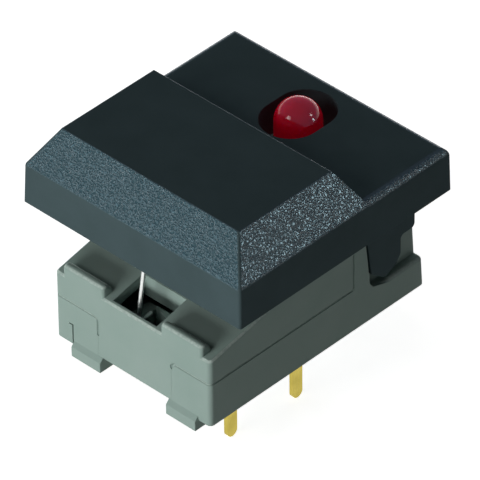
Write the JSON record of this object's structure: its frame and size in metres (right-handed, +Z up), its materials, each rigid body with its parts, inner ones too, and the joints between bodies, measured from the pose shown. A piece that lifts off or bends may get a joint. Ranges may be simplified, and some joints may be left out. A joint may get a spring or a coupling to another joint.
{
  "type": "illuminated push button switch",
  "caption": "Small board-mounted push button switch with a square tilting keycap, a lamp in a slot behind the finger pad, a moulded housing on feet and blade pins below.",
  "frame": {"origin": "middle of the seating plane of the feet, under the centre of the keycap", "axes": "+Z up from the board, +Y to the rear where the lamp and the pivot are, +X to the right"},
  "size_m": [0.0174, 0.0188, 0.0171],
  "materials": {
    "cap_plastic": "fine moulded grain on the bevels, satin on the flats",
    "housing_plastic": "satin moulded",
    "lamp_red": "tinted diffused epoxy",
    "tinned_wire": "tinned",
    "slider_plastic": "moulded",
    "spring_steel": "drawn wire",
    "gold_plate": "gold plated stampings"
  },
  "bodies": {
    "housing": {"base": "housing_plastic", "cover": "housing_plastic", "led_lens": "lamp_red", "led_anode_lead": "tinned_wire", "led_cathode_lead": "tinned_wire", "terminal_right_front": "gold_plate", "terminal_left_front": "gold_plate", "terminal_right_rear": "gold_plate", "terminal_left_rear": "gold_plate"},
    "key": {"keycap": "cap_plastic"},
    "slider": {"contact_slider": "slider_plastic", "bridge_right": "gold_plate", "bridge_left": "gold_plate", "return_spring": "spring_steel"},
    "latch": {"latch_wire": "spring_steel"}
  },
  "joints": [
    {"name": "key_tilt", "type": "hinge", "parent": "housing", "child": "key", "pos_m": [0, 0.0064, 0.0067], "axis": [1, 0, 0], "range_deg": [0, 10], "stiffness_Nm_per_rad": 0.09, "springref_deg": -7.45},
    {"name": "slider_travel", "type": "slide", "parent": "housing", "child": "slider", "axis": [0, 0, -1], "range_m": [0, 0.00165], "deforming": ["return_spring"]},
    {"name": "latch_sway", "type": "hinge", "parent": "key", "child": "latch", "pos_m": [0, -0.00675, 0.00975], "axis": [0, -1, 0], "range_deg": [0, 7.3]}
  ],
  "couplings": [
    {"joint": "slider_travel", "follows": "key_tilt", "m_per_rad": 0.0094},
    {"joint": "latch_sway", "follows": "key_tilt", "ratio": 0.72}
  ]
}
